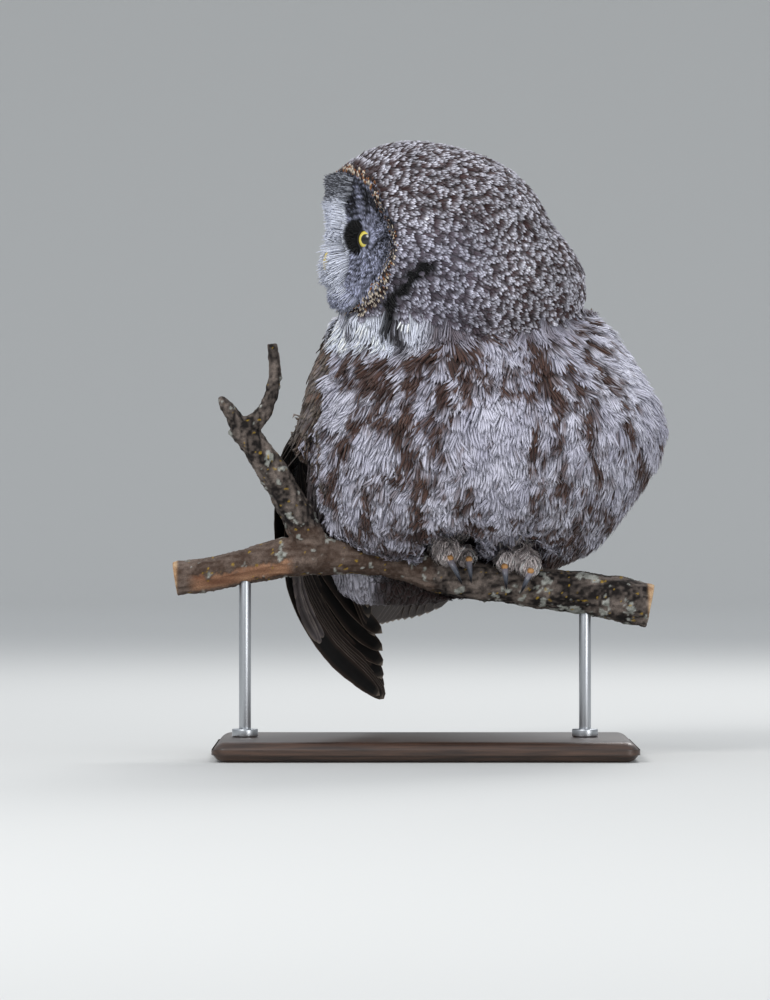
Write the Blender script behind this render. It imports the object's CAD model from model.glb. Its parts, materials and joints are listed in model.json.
# The looks of a life-size great grey owl on a cut branch, held by a plain display stand.
# A skin stands for the flesh, and locks, vanes and quills of solid mesh stand for its feathers.
import itertools
import json
import math
from collections import namedtuple

import bpy
import numpy as np
from bpy.props import FloatProperty, FloatVectorProperty, PointerProperty
from mathutils import Matrix, Vector
from mathutils.bvhtree import BVHTree

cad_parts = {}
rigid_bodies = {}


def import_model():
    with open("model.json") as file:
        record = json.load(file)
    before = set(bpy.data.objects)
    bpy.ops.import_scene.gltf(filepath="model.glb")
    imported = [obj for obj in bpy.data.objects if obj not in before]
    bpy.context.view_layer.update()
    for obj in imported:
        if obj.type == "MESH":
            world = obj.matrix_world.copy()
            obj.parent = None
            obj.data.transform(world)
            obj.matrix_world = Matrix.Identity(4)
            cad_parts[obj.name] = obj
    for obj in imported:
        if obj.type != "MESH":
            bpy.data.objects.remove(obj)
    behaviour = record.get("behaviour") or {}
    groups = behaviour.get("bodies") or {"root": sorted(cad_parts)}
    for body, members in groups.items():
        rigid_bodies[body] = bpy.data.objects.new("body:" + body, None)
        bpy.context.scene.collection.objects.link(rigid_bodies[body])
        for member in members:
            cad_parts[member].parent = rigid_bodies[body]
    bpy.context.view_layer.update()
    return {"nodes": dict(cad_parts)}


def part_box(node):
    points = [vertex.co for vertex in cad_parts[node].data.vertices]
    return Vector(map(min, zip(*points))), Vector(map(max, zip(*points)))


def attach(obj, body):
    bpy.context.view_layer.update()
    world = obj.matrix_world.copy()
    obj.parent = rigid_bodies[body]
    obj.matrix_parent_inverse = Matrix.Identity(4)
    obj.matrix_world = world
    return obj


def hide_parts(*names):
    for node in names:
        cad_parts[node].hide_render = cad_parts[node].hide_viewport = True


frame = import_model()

bl_info = {
    "name": "Great Grey Owl",
    "version": (1, 0, 0),
    "blender": (4, 5, 0),
    "location": "3D View > Sidebar > Owl",
    "description": "Builds a feathered owl, its perch and its stand round a fixed frame",
    "category": "Add Mesh",
}

MM = 0.001
BAKE_MAP = "OFBake"
TUFT_PATCH = 0.003  # how much of the unwrap one tuft covers

# Frames of reference, as the solids have them

BODY_YAW = math.radians(12)
BODY_ORIGIN = np.array([60.0, 0.0, 0.0]) * MM
HEAD_TURN = math.radians(22)
HEAD_ORIGIN = np.array([10.0, -15.0, 515.0]) * MM
EYE_PLACE = {"ahead": 80, "side": 27.5, "above": -1}
EYE_RADIUS = 12.5

BODY_AHEAD = np.array([math.sin(BODY_YAW), -math.cos(BODY_YAW), 0])
BODY_LEFT = np.array([math.cos(BODY_YAW), math.sin(BODY_YAW), 0])
HEAD_AHEAD = np.array([-math.cos(HEAD_TURN), -math.sin(HEAD_TURN), 0])
HEAD_LEFT = np.array([math.sin(HEAD_TURN), -math.cos(HEAD_TURN), 0])
UP = np.array([0.0, 0.0, 1.0])

SIDES = {"left": 1, "right": -1}
TOES = [
    f"toe_{side}_{place}_{end}"
    for side in SIDES for place in ("inner", "outer") for end in ("front", "back")
]
CLAWS = [toe.replace("toe", "claw") for toe in TOES]
WING_NODES = [f"wing_{side}_coverts" for side in SIDES]
SKIN_NODES = [
    "head", "face_disc_left", "face_disc_right", "neck", "trunk_breast", "trunk_back", "tail_coverts",
    "leg_left", "leg_right", *WING_NODES, *TOES,
]
TRACTS = {"head": 0, "disc": 1, "neck": 2, "breast": 3, "back": 4, "rump": 5, "leg": 6, "wing": 7, "toe": 8}
COAT_DEPTH = {
    "head": 4.5, "disc": 3.0, "neck": 6.0, "breast": 8.0, "back": 6.0, "rump": 5.0, "leg": 1.0, "wing": 4.0,
    "toe": 0.4,
}


def tract_of(node):
    """The number of the feather tract that a node of flesh carries"""
    word = node.split("_")[1 if node.startswith("trunk") else 0]
    return TRACTS[{"face": "disc", "tail": "rump"}.get(word, word)]


def head_point(ahead, left, above):
    """A place given in mm ahead, to the bird's left and above the middle of the head"""
    return HEAD_ORIGIN + (HEAD_AHEAD * ahead + HEAD_LEFT * left + UP * above) * MM


def head_places(points):
    """How far ahead, to the left and above the middle of the head points lie, in mm"""
    v = (points - HEAD_ORIGIN) / MM
    return v @ HEAD_AHEAD, v @ HEAD_LEFT, v[..., 2]


def body_places(points):
    """How far ahead of the middle of the body points lie, to its left and above the floor, in mm"""
    v = (points - BODY_ORIGIN) / MM
    return v @ BODY_AHEAD, v @ BODY_LEFT, v[..., 2]


# Numbers

def unit(v):
    """Vectors of length 1 in the same directions"""
    return v / np.maximum(np.linalg.norm(v, axis=-1, keepdims=True), 1e-12)


def ramp(x, low, high):
    """0 below low, 1 above high and smooth between, or the reverse if low is above high"""
    t = np.clip((x - low) / (high - low), 0, 1)
    return t * t * (3 - 2 * t)


def bell(x, width):
    """1 at 0 and falling to nothing past about twice the width"""
    return np.exp(-((x / width) ** 2))


def stations(rings):
    """Shares of a feather's length, closer together toward the tip"""
    return 1 - (1 - np.linspace(0, 1, rings)) ** 1.4


def noise(points, size, seed=0):
    """Smooth seeded noise from -1 to 1, with bumps about size across, in the points' own unit"""
    grid = np.asarray(points, float) / size
    cell = np.floor(grid).astype(np.int64)
    part = grid - cell
    part = part * part * (3 - 2 * part)
    total = 0
    for corner in itertools.product((0, 1), repeat=grid.shape[-1]):
        at = cell + np.array(corner)
        h = seed * 7919 + 17
        for k, prime in enumerate((73856093, 19349663, 83492791)[: grid.shape[-1]]):
            h = h ^ (at[..., k] * prime)
        h = ((h ^ (h >> 13)) * 1274126177) & 0xFFFFFFFF
        value = ((h ^ (h >> 16)) & 0xFFFF) / 32767.5 - 1
        weight = np.prod(np.where(np.array(corner) == 1, part, 1 - part), axis=-1)
        total = total + weight * value
    return total


def linear(hex_colour):
    """sRGB hex digits as a linear colour"""
    srgb = np.array([int(hex_colour[i:i + 2], 16) / 255 for i in (0, 2, 4)])
    return np.where(srgb <= 0.04045, srgb / 12.92, ((srgb + 0.055) / 1.055) ** 2.4)


def mixed_value(a, b, share):
    return a * (1 - share) + b * share


def mixed(a, b, share):
    """A mixture of two colours, with one share for each place"""
    share = np.asarray(share)[..., None]
    return a * (1 - share) + b * share


# Meshes

def only(*objects):
    """Selects these objects alone and makes the first one active"""
    for other in bpy.context.scene.objects:
        other.select_set(False)
    for obj in objects:
        obj.select_set(True)
    bpy.context.view_layer.objects.active = objects[0]


def in_edit_mode(obj, *steps):
    """Runs steps in edit mode on all of an object's vertices"""
    only(obj)
    bpy.ops.object.mode_set(mode="EDIT")
    bpy.ops.mesh.select_all(action="SELECT")
    for step in steps:
        step()
    bpy.ops.object.mode_set(mode="OBJECT")


def modify(obj, kind, **settings):
    """Adds a modifier and applies it"""
    only(obj)
    modifier = obj.modifiers.new(kind, kind)
    for key, value in settings.items():
        setattr(modifier, key, value)
    bpy.ops.object.modifier_apply(modifier=modifier.name)


def copied(nodes, name):
    """One object made of copies of CAD nodes, with their loose triangles merged"""
    copies = []
    for node in nodes:
        mesh = frame["nodes"][node].data.copy()
        mesh.materials.clear()
        copies.append(bpy.data.objects.new(name, mesh))
        bpy.context.collection.objects.link(copies[-1])
    only(*copies)
    if len(copies) > 1:
        bpy.ops.object.join()
    obj = bpy.context.object
    obj.name = name
    in_edit_mode(obj, lambda: bpy.ops.mesh.remove_doubles(threshold=0.00001))
    return obj


def vertices(mesh):
    co = np.empty(len(mesh.vertices) * 3, np.float32)
    mesh.vertices.foreach_get("co", co)
    return co.reshape(-1, 3).astype(float)


def normals(mesh):
    found = np.empty(len(mesh.vertices) * 3, np.float32)
    mesh.vertex_normals.foreach_get("vector", found)
    return found.reshape(-1, 3).astype(float)


def shade_smooth(mesh):
    mesh.polygons.foreach_set("use_smooth", np.ones(len(mesh.polygons), bool))


def move_vertices(mesh, points):
    mesh.vertices.foreach_set("co", points.astype(np.float32).ravel())
    mesh.update()


def set_colours(mesh, colours):
    layer = mesh.color_attributes.new("coat", "FLOAT_COLOR", "POINT")
    rgba = np.ones((len(colours), 4), np.float32)
    rgba[:, :3] = colours
    layer.data.foreach_set("color", rgba.ravel())


def mesh_object(name, points, triangles, colours, uvs):
    """An object made of arrays: triangles index points, and colours and uvs belong to points"""
    mesh = bpy.data.meshes.new(name)
    mesh.vertices.add(len(points))
    mesh.vertices.foreach_set("co", points.astype(np.float32).ravel())
    mesh.loops.add(triangles.size)
    mesh.loops.foreach_set("vertex_index", triangles.astype(np.int32).ravel())
    mesh.polygons.add(len(triangles))
    mesh.polygons.foreach_set("loop_start", np.arange(0, triangles.size, 3, dtype=np.int32))
    mesh.update(calc_edges=True)
    shade_smooth(mesh)
    set_colours(mesh, colours)
    layer = mesh.uv_layers.new(name=BAKE_MAP)
    layer.uv.foreach_set("vector", uvs[triangles.ravel()].astype(np.float32).ravel())
    obj = bpy.data.objects.new(name, mesh)
    bpy.context.collection.objects.link(obj)
    return obj


def finished(obj, material, slot, *nodes):
    """Gives a piece its material and tells the frame what it is"""
    obj.data.materials.clear()
    obj.data.materials.append(material)
    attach(obj, "root")
    if nodes:
        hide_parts(*nodes)
    return obj


# Materials

def put(tree, kind, inputs=None, **settings):
    """Adds a node: settings are its own, and inputs holds values or other nodes' sockets"""
    made = tree.nodes.new(kind)
    for key, value in settings.items():
        setattr(made, key, value)
    for key, value in (inputs or {}).items():
        if isinstance(value, bpy.types.NodeSocket):
            tree.links.new(value, made.inputs[key])
        else:
            made.inputs[key].default_value = value
    return made


def surface_material(name, colour=None, **values):
    """A material and its shader, with plain values set on the shader's own sockets"""
    found = bpy.data.materials.new(name)
    found.use_nodes = True
    tree = found.node_tree
    shader = tree.nodes["Principled BSDF"]
    for key, value in values.items():
        shader.inputs[key.replace("_", " ").title().replace("Ior", "IOR")].default_value = value
    if colour is not None:
        shader.inputs["Base Color"].default_value = (*colour, 1)
    return found, tree, shader


def own_colours(tree):
    """The colours that the mesh carries, as a socket"""
    return put(tree, "ShaderNodeAttribute", attribute_name="coat").outputs["Color"]


def object_places(tree):
    return put(tree, "ShaderNodeTexCoord").outputs["Object"]


def grain_tone(tree, shader, grain, low, high):
    """Darkens and brightens the mesh's own colours by a noise, from low to high times"""
    spread = put(tree, "ShaderNodeMapRange", {
        "Value": grain, "From Min": 0.3, "From Max": 0.7, "To Min": low, "To Max": high,
    })
    toned = put(tree, "ShaderNodeVectorMath", {0: own_colours(tree)}, operation="SCALE")
    tree.links.new(spread.outputs["Result"], toned.inputs["Scale"])
    tree.links.new(toned.outputs["Vector"], shader.inputs["Base Color"])


def feather_material(name, roughness, grain_mm, contrast, sheen=0.08, barb_mm=None):
    """Feather keratin: matt, with the soft sheen of fine barbs, in the colours that the mesh carries

    barb_mm is the spacing of the ridges that barbs make on a vane, drawn coarser than life so that they show.
    """
    found, tree, shader = surface_material(
        name, roughness=roughness, sheen_weight=sheen, sheen_roughness=0.5, specular_ior_level=0.15,
    )
    grain = put(tree, "ShaderNodeTexNoise", {
        "Vector": object_places(tree), "Scale": 1 / (grain_mm * MM), "Detail": 3.0,
    })
    grain_tone(tree, shader, grain.outputs["Fac"], 1 - contrast, 1 + contrast)
    if barb_mm:
        barbs = put(tree, "ShaderNodeAttribute", attribute_name="barbs").outputs["Fac"]
        turns = put(tree, "ShaderNodeMath", {0: barbs, 1: 2 * math.pi / barb_mm}, operation="MULTIPLY")
        wave = put(tree, "ShaderNodeMath", {0: turns.outputs["Value"]}, operation="SINE")
        bump = put(tree, "ShaderNodeBump", {
            "Height": wave.outputs["Value"], "Strength": 0.4, "Distance": 0.15 * MM,
        })
        tree.links.new(bump.outputs["Normal"], shader.inputs["Normal"])
    return found


# The skin and what grows on it

THIN_SHARE = 0.35  # the most of a thin part's thickness that its coat takes
CREASE_DEPTH = 3.5
DOWN_SHADE = 0.6  # how dark the skin is beside the coat that hides it


class Surface:
    """The skin's triangles, with their normals, unwrap and feather tracts"""

    def __init__(self, obj):
        mesh = obj.data
        mesh.calc_loop_triangles()
        count = len(mesh.loop_triangles)
        corners = np.empty(count * 3, np.int32)
        loops = np.empty(count * 3, np.int32)
        mesh.loop_triangles.foreach_get("vertices", corners)
        mesh.loop_triangles.foreach_get("loops", loops)
        self.triangles = corners.reshape(-1, 3)
        self.points = vertices(mesh)
        self.normals = normals(mesh)
        uv = np.empty(len(mesh.loops) * 2, np.float32)
        mesh.uv_layers[BAKE_MAP].uv.foreach_get("vector", uv)
        self.uv = uv.reshape(-1, 2)[loops.reshape(-1, 3)]
        tract = np.empty(len(mesh.vertices), np.int32)
        mesh.attributes["tract"].data.foreach_get("value", tract)
        self.tract = tract[self.triangles[:, 0]]
        self.tree = BVHTree.FromPolygons(self.points.tolist(), self.triangles.tolist())
        self.corner_points = self.points[self.triangles]
        self.middle = self.corner_points.mean(axis=1)
        sides = self.corner_points[:, 1:] - self.corner_points[:, :1]
        self.area = np.linalg.norm(np.cross(sides[:, 0], sides[:, 1]), axis=1) / 2

    def scatter(self, chosen, spacing, rng):
        """Evenly spaced random places on the chosen triangles: their points and places on the unwrap"""
        area = self.area * chosen
        tries = int(area.sum() / (spacing * MM) ** 2 * 3)
        triangle = rng.choice(len(area), tries, p=area / area.sum())
        a, b = rng.random((2, tries, 1))
        flip = a + b > 1
        a, b = np.where(flip, 1 - a, a), np.where(flip, 1 - b, b)
        share = np.concatenate([1 - a - b, a, b], axis=1)
        points = (self.corner_points[triangle] * share[..., None]).sum(axis=1)
        cells = np.floor(points / (spacing * MM)).astype(np.int64)
        kept = np.sort(np.unique(cells, axis=0, return_index=True)[1])
        uv = (self.uv[triangle[kept]] * share[kept][..., None]).sum(axis=1)
        return points[kept], uv

    def nearest(self, points):
        """The skin's nearest points and smooth normals there"""
        hits = [self.tree.find_nearest(p) for p in points.tolist()]
        places = np.array([hit[0] for hit in hits])
        found = np.array([hit[2] for hit in hits])
        corners = self.corner_points[found]
        near = 1 / (np.linalg.norm(corners - places[:, None], axis=2) + 0.3 * MM)
        near = near / near.sum(axis=1, keepdims=True)
        return places, unit((self.normals[self.triangles[found]] * near[..., None]).sum(axis=1))

    def trace(self, roots, flow, lengths, rings, sway):
        """Lines that follow the flow along the skin: their points, the way up and the way along"""
        points, up = self.nearest(roots)
        lines, ups, alongs = [points], [up], []
        for step in np.diff(stations(rings)):
            along = flow(points, up) + np.cross(up, flow(points, up)) * sway[:, None]
            along = unit(along - up * (along * up).sum(axis=1, keepdims=True))
            alongs.append(along)
            points, up = self.nearest(points + along * (lengths * step)[:, None])
            lines.append(points)
            ups.append(up)
        alongs.append(alongs[-1])
        return np.stack(lines, 1), np.stack(ups, 1), np.stack(alongs, 1)


def wall(tree, points, up):
    """How thick the solid is under each point"""
    found = []
    for p, n in zip((points - up * 0.2 * MM).tolist(), (-up).tolist()):
        hit = tree.ray_cast(p, n)
        found.append(hit[3] if hit[3] is not None else 0.2)
    return np.array(found)


def nearest_tract(points):
    """The feather tract of the CAD node that lies nearest to each point"""
    corners, faces, tracts = [], [], []
    for node in SKIN_NODES:
        mesh = frame["nodes"][node].data
        start = len(corners)
        corners.extend(v.co[:] for v in mesh.vertices)
        faces.extend([start + i for i in p.vertices] for p in mesh.polygons)
        tracts.extend([tract_of(node)] * len(mesh.polygons))
    tree = BVHTree.FromPolygons(corners, faces)
    return np.array([tracts[tree.find_nearest(p)[2]] for p in points.tolist()])


def eye_centre(side):
    return head_point(EYE_PLACE["ahead"], EYE_PLACE["side"] * side, EYE_PLACE["above"])


def beside_wing(points):
    """The strip of the right flank that the folded wing's edge covers"""
    x, z = front_view(points)
    ahead, left, _ = body_places(points)
    x = x + 3 * noise(points / MM, 12, 64)
    edge = np.interp(z, [190, 260, 330, 400], [-98, -103, -102, -88])
    return (x < edge) & (left < -60) & (ahead > -10) & (z > 170)


def make_skin():
    """One skin for all the flesh, inside it by the coat's depth, with each place's feather tract on it"""
    obj = copied(SKIN_NODES, "skin")
    obj.data.remesh_voxel_size = bpy.context.scene.owl.skin_voxel
    bpy.ops.object.voxel_remesh()
    modify(obj, "SMOOTH", factor=0.5, iterations=6)
    mesh = obj.data
    points, up = vertices(mesh), normals(mesh)
    tract = nearest_tract(points)
    tract = np.where(beside_wing(points) & (tract == TRACTS["breast"]), TRACTS["wing"], tract)
    depth = np.array([COAT_DEPTH[name] for name in TRACTS])[tract] * MM
    tree = BVHTree.FromObject(obj, bpy.context.evaluated_depsgraph_get())
    depth = np.minimum(depth, wall(tree, points, up) * THIN_SHARE) + CREASE_DEPTH * MM * crease(points)
    for side in SIDES.values():
        depth *= ramp(np.linalg.norm(points - eye_centre(side), axis=1) / MM, EYE_RADIUS + 1, EYE_RADIUS + 6)
    move_vertices(mesh, points - up * depth[:, None])
    modify(obj, "SMOOTH", factor=0.5, iterations=4)
    layer = mesh.attributes.new("tract", "INT", "POINT")
    layer.data.foreach_set("value", tract.astype(np.int32))
    mesh.uv_layers.new(name=BAKE_MAP)
    in_edit_mode(obj, lambda: bpy.ops.uv.smart_project(angle_limit=math.radians(66), island_margin=0.002))
    set_colours(mesh, coat_colour(vertices(mesh), tract) * DOWN_SHADE)
    shade_smooth(mesh)
    return finished(obj, feather_material("down", 0.95, 2.0, 0.15), "plumage", *SKIN_NODES)


# Markings, as functions of a place on the bird

DARK_BROWN = linear("372928")
WARM_BROWN = linear("5f463d")
HOOD_DARK = linear("432e2d")
CROWN_PALE = linear("ecebf8")
CHEEK_DARK = linear("564d57")
CHEEK_PALE = linear("dcdbee")
DISC_DARK = linear("14141c")
DISC_PALE = linear("c4c8e4")
WHITE = linear("e6eaf8")
BLACK = linear("050507")
RIM_CREAM = linear("cdbfae")
RUST = linear("8a5c3c")
BELLY_PALE = linear("b0aebf")
BELLY_WHITE = linear("dcdbe9")
BACK_GREY = linear("7d7578")
TOE_GREY = linear("efe4e2")
FLIGHT_DARK = linear("2e2523")
FLIGHT_PALE = linear("655a55")
FEATHER_EDGE = linear("a8998a")
UNDER_DARK = linear("0b0909")
UNDER_PALE = linear("130e0d")
UNDER_EDGE = linear("3c2f28")
TAIL_UNDER = linear("23140e")

# Brown streaks of the underparts as seen from the front: across and height of both ends in mm, half width
# in mm and strength
STREAKS = [
    (-71, 330, -82, 300, 5, 0.9), (-63, 347, -68, 325, 5, 0.8), (-88, 282, -98, 262, 5, 0.8),
    (-98, 262, -103, 247, 5, 0.8), (-58, 275, -53, 247, 5, 0.9), (-53, 247, -65, 222, 6, 0.9),
    (-15, 357, -18, 312, 6, 0.9), (-18, 312, -15, 292, 6, 0.8), (-30, 297, -38, 282, 5, 0.6),
    (-10, 277, -8, 257, 6, 0.9), (-8, 257, -3, 237, 7, 1.0), (-3, 237, -8, 217, 6, 0.9),
    (10, 322, 20, 305, 6, 0.7), (20, 305, 15, 287, 6, 0.7), (35, 282, 32, 247, 5, 0.7),
    (-40, 237, -43, 222, 5, 0.6), (10, 367, 12, 330, 9, 0.5), (50, 400, 50, 350, 6, 0.6),
    (62, 387, 65, 367, 5, 0.7), (88, 380, 95, 360, 5, 0.7), (108, 414, 118, 387, 7, 1.0),
    (118, 387, 135, 344, 7, 1.0), (135, 344, 135, 314, 8, 1.0), (135, 314, 122, 302, 7, 0.7),
    (145, 387, 152, 360, 7, 0.7), (165, 347, 162, 307, 6, 0.8), (162, 307, 175, 280, 6, 0.8),
    (138, 287, 138, 260, 6, 0.7), (178, 387, 192, 357, 5, 0.9), (192, 357, 205, 317, 5, 1.0),
    (205, 317, 227, 265, 4, 1.0), (212, 374, 245, 334, 4, 0.9), (245, 334, 255, 320, 4, 0.9),
    (155, 270, 165, 247, 6, 0.7), (178, 250, 185, 220, 6, 0.8), (148, 234, 155, 200, 6, 0.8),
    (108, 267, 112, 250, 8, 0.5), (-84, 374, -34, 366, 9, 0.9), (-46, 312, -42, 286, 5, 0.8),
    (18, 344, 22, 326, 7, 0.7),
]
# Pale patches of the underparts as seen from the front: across, height, half width and half height in mm
# and strength
PALE_PATCHES = [
    (-84, 352, 14, 22, 0.9), (-48, 307, 15, 22, 0.8), (-70, 257, 10, 26, 0.8), (-30, 255, 14, 22, 0.6),
    (1, 332, 8, 12, 0.7), (52, 315, 24, 36, 1.0), (12, 262, 12, 18, 0.5), (77, 290, 20, 56, 1.0),
    (143, 322, 8, 16, 0.7), (186, 293, 10, 16, 0.7), (203, 402, 17, 32, 1.0), (188, 345, 10, 16, 0.6),
    (222, 337, 18, 24, 0.8), (140, 398, 16, 9, 0.4), (-25, 382, 3, 18, 0.8), (10, 377, 4, 16, 0.7),
    (30, 367, 5, 22, 0.7), (148, 304, 11, 13, 1.0), (60, 345, 12, 16, 0.5), (192, 425, 20, 12, 1.0),
    (220, 378, 14, 22, 1.0),
]


def front_view(points):
    """Where points stand in a view from the front, as mm across and up"""
    across, away, height = (value / MM for value in CAMERA["place"])
    nearness = away / (away - points[..., 1] / MM)
    return (
        (points[..., 0] / MM - across) * nearness + across,
        (points[..., 2] / MM - height) * nearness + height,
    )


def line_distance(x, y, x1, y1, x2, y2):
    """Distance from the points (x, y) to the line from (x1, y1) to (x2, y2)"""
    long, high = x2 - x1, y2 - y1
    t = np.clip(((x - x1) * long + (y - y1) * high) / (long * long + high * high), 0, 1)
    return np.hypot(x - x1 - t * long, y - y1 - t * high)


def vent(points):
    """How far a place is under the root of the tail, and how white the feathers of that place are"""
    x, _ = front_view(points)
    under = ramp(points[..., 2] / MM, 210, 194) * ramp(points[..., 1] / MM, -15, 15)
    x = x + 10 * noise(points / MM, 7, 29)
    return under, (0.75 + 0.25 * noise(points / MM, 4, 31)) * ramp(x, -38, -62)


def streaks(points):
    """How brown the underparts are, from 0 to 1"""
    x, z = front_view(points)
    ahead, left, _ = body_places(points)
    x = x + 3 * noise(points / MM, 13, 3)
    z = z + 3 * noise(points / MM, 13, 4)
    brown = 0.4 + 0.42 * ramp(z, 345, 395) * ramp(x, 90, 20) + 0.15 * ramp(z, 320, 380) * ramp(x, 60, 110)
    brown = brown + 0.26 * bell(np.hypot((x + 20) / 62, (z - 312) / 90), 1.0)
    brown = brown + (0.45 + 0.3 * ramp(z, 250, 350)) * noise(points / MM, 7, 8)
    brown = brown + 0.4 * noise(points / MM, 15, 9)
    for x1, z1, x2, z2, half, strength in STREAKS:
        near = bell(line_distance(x, z, x1, z1, x2, z2), half * 1.25)
        brown = np.maximum(brown, strength * 1.1 * near)
    for across, high, wide, tall, strength in PALE_PATCHES:
        brown = brown - 0.95 * strength * bell(np.hypot((x - across) / wide, (z - high) / tall), 1.0)
    around = np.arctan2(left, ahead + 40) * 150
    under, white = vent(points)
    rest = 0.2 + 0.9 * noise(np.stack([around / 11, z / 60], -1), 1, 5) + 0.3 * noise(points / MM, 9, 6)
    behind = np.where(left > 40, 35, 0)
    brown = mixed_value(rest, brown, ramp(ahead + behind, -15, 20))
    return np.clip(mixed_value(brown, 1.2 - 0.95 * white, under), 0, 1)


def breast_colour(points):
    pale = mixed(BELLY_PALE, BELLY_WHITE, 0.5 + 0.5 * noise(points / MM, 12, 11))
    brown = mixed(DARK_BROWN, WARM_BROWN, 0.5 + 0.5 * noise(points / MM, 7, 12))
    return mixed(pale, brown, streaks(points))


def throat_white(points):
    """The white strands under the face: how white and how black a place is"""
    ahead, left, above = head_places(points)
    side = np.abs(left)
    front = ramp(ahead, 20, 50)
    white = ramp(above, -74, -82) * ramp(above, -122, -104) * ramp(side, 72, 58) * front
    gap = bell(side - 46, 4) + 0.7 * bell(side, 3)
    return np.clip(white * (1 - gap), 0, 1), np.clip(white * gap, 0, 1)


def neck_colour(points):
    """Breast and hood mixed, with the white strands and the dark fold behind the cheek"""
    grey = mixed(CHEEK_DARK, CHEEK_PALE, 0.5 + 0.5 * noise(points / MM, 8, 13))
    base = mixed(breast_colour(points), grey, 0.5)
    nape = mixed(HOOD_DARK, CROWN_PALE, np.clip(0.35 + 0.9 * noise(points / MM, 5, 27), 0, 1))
    base = mixed(base, nape, ramp(body_places(points)[0], 10, -30))
    white, black = throat_white(points)
    base = mixed(base, WHITE, white)
    base = mixed(base, BLACK, black * 0.9)
    return mixed(base, BLACK, 0.95 * crease(points))


# The fold behind the cheek, as places beside and above the middle of the head in mm
CREASE = [(84, -28), (69, -50), (48, -66), (39, -92)]


def crease(points):
    """How deep in the dark fold behind the cheek a place is, from 0 to 1"""
    ahead, left, above = head_places(points)
    side = np.abs(left) + 2.5 * noise(points / MM, 8, 14)
    near = np.full(side.shape, 99.0)
    for (x1, y1), (x2, y2) in zip(CREASE, CREASE[1:]):
        near = np.minimum(near, line_distance(side, above, x1, y1, x2, y2))
    return np.clip(1.6 * bell(near, 5), 0, 1) * ramp(ahead, 25, 40)


def hood_tones(points):
    """The dark and the pale colour of the hood's feathers at a place"""
    ahead, _, above = head_places(points)
    soft = (ramp(above, 40, -20) * ramp(ahead, -60, 20))[..., None]
    dark = HOOD_DARK * (1 - soft) + CHEEK_DARK * soft
    pale = CROWN_PALE * (1 - soft) + CHEEK_PALE * soft
    tone = (0.9 + 0.25 * noise(points / MM, 14, 15))[..., None]
    return dark * tone, pale * tone


def eye_patch(points):
    """Less than 1 inside the black patch before each eye"""
    _, left, above = head_places(points)
    return np.hypot((np.abs(left) - 20) / 12, (above - 2) / 17.5)


def disc_colour(points):
    """Rings round each eye, white brows and lores, and the black patch before the eye"""
    ahead, left, above = head_places(points)
    side = np.abs(left)
    eye = np.hypot(side - EYE_PLACE["side"], above - EYE_PLACE["above"])
    turn = np.arctan2(above - EYE_PLACE["above"], side - EYE_PLACE["side"])
    ring = np.sin(2 * math.pi * eye / 4.6 + 4.5 * noise(points / MM, 9, 16))
    ray = noise(np.stack([turn * 10, eye / 14], -1), 1, 17)
    level = 0.42 + 0.36 * ring + 0.45 * ray + 0.4 * noise(points / MM, 2.6, 42)
    level = level - 0.34 * ramp(above, 8, 40) + 0.32 * ramp(above, -12, -45)
    colour = mixed(DISC_DARK, DISC_PALE, np.clip(level, 0, 1))
    colour = mixed(colour, BLACK, 0.8 * bell(rim_share(points) - 0.95, 0.03))
    white = ramp(side, 14, 11) * ramp(above, -50, -42) * ramp(above, 40, 30) * ramp(ahead, 60, 75)
    colour = mixed(colour, WHITE, white)
    return mixed(colour, BLACK, ramp(eye_patch(points), 1.12, 0.88))


def back_colour(points):
    """Dark grey-brown, mottled across the feathers"""
    across = points / MM * np.array([1, 1, 2.2])
    level = 0.35 + 0.45 * noise(across, 9, 18) + 0.15 * noise(points / MM, 30, 19)
    under, white = vent(points)
    below = mixed(DARK_BROWN, BELLY_WHITE, white)
    colour = mixed(mixed(DARK_BROWN, BACK_GREY, np.clip(level, 0, 1)), below, under)
    ahead, left, _ = body_places(points)
    return mixed(colour, breast_colour(points), ramp(ahead, -60, -35) * ramp(left, 40, 70))


def toe_colour(points):
    level = 0.8 + 0.6 * noise(points / MM, 4, 20)
    return mixed(DARK_BROWN, TOE_GREY, np.clip(level, 0, 1))


def coat_colour(points, tract):
    """The coat's colour at places of any tract"""
    dark, pale = hood_tones(points)
    painted = {
        TRACTS["head"]: mixed(dark, pale, 0.15),
        TRACTS["disc"]: disc_colour(points),
        TRACTS["neck"]: neck_colour(points),
        TRACTS["breast"]: breast_colour(points),
        TRACTS["back"]: back_colour(points),
        TRACTS["rump"]: back_colour(points),
        TRACTS["leg"]: toe_colour(points),
        TRACTS["wing"]: back_colour(points),
        TRACTS["toe"]: toe_colour(points),
    }
    colour = np.zeros(points.shape)
    for number, found in painted.items():
        colour = np.where((tract == number)[..., None], found, colour)
    return colour


# The lie of the coat

def body_flow(points, up):
    """Down and back, with a slow swirl"""
    swirl = 0.35 * noise(points / MM, 38, 26)[:, None]
    return -UP - 0.55 * BODY_AHEAD + swirl * BODY_LEFT


def hood_flow(points, up):
    """Away from the face and a little down"""
    face = head_point(105, 0, -2)
    return unit(points - face) - 0.3 * UP


def lore_flow(points, up):
    """Straight forward beside the bill, spreading up and down from it"""
    high = ramp(head_places(points)[2], 20, 50)[:, None]
    v = unit(points - head_point(38, 0, -4) * (1 - high) - head_point(10, 0, 26) * high)
    return v - (v @ HEAD_LEFT)[:, None] * HEAD_LEFT


def lore_length(roots):
    """Longest beside the bill, which the bristles hide from the side"""
    _, _, above = head_places(roots)
    middle = 0.58 + 0.36 * ramp(above, 8, -8) * ramp(above, -42, -32) + 0.07 * bell(above + 18, 9)
    return middle * (1 - 0.25 * ramp(above, 30, 50)) * (1 - 0.1 * ramp(above, -50, -60))


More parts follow.
